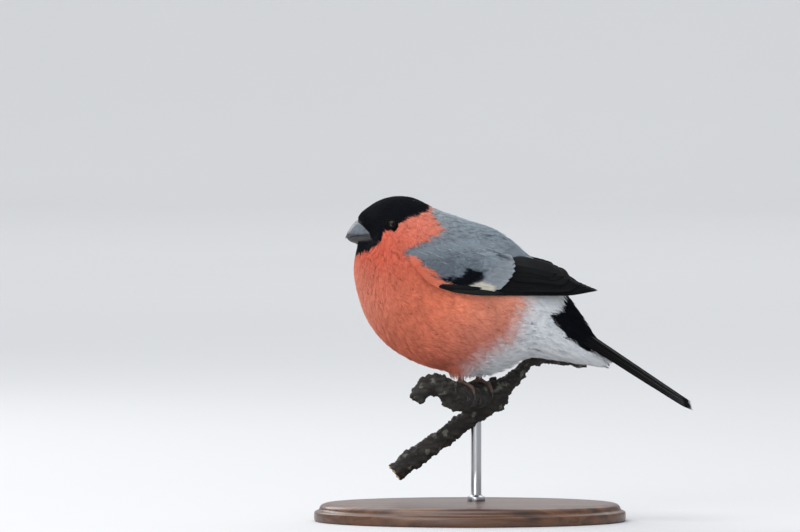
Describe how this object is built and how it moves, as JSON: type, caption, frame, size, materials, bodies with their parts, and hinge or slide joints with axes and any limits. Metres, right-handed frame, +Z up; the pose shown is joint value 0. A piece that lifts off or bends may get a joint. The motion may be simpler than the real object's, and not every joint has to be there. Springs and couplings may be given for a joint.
{
  "type": "bullfinch",
  "caption": "Life-size male bullfinch, brick-pink breast, grey back and black cap, wings and tail, gripping a short cut branch on a plain wooden display stand.",
  "frame": {"origin": "middle of the flat underside of the display stand's base, on the surface that it stands on", "axes": "+Z up; the bird faces -X with its tail towards +X, and its left side faces -Y"},
  "size_m": [0.1455, 0.084, 0.1252],
  "materials": {
    "plumage_black": "soft black feathers with a faint blue sheen",
    "plumage_breast": "soft brick-pink feathers",
    "plumage_grey": "soft blue-grey feathers, black glossy flight feathers",
    "plumage_flight": "smooth glossy black tail feathers, white coverts",
    "bill_horn": "satin dark grey horn",
    "eye_glass": "glossy near-black brown",
    "foot_skin": "scaly dark brown skin with dark claws",
    "bark": "rough dark bark with pale cut ends",
    "base_wood": "satin varnished hardwood",
    "rod_steel": "brushed"
  },
  "bodies": {
    "root": {"head": "plumage_black", "neck": "plumage_breast", "torso": "plumage_breast", "tail": "plumage_flight", "wing_left": "plumage_grey", "wing_right": "plumage_grey", "bill_upper": "bill_horn", "bill_lower": "bill_horn", "eye_left": "eye_glass", "eye_right": "eye_glass", "leg_left": "foot_skin", "leg_right": "foot_skin", "foot_left": "foot_skin", "foot_right": "foot_skin", "perch": "bark", "stand_base": "base_wood", "stand_rod": "rod_steel"}
  },
  "joints": []
}
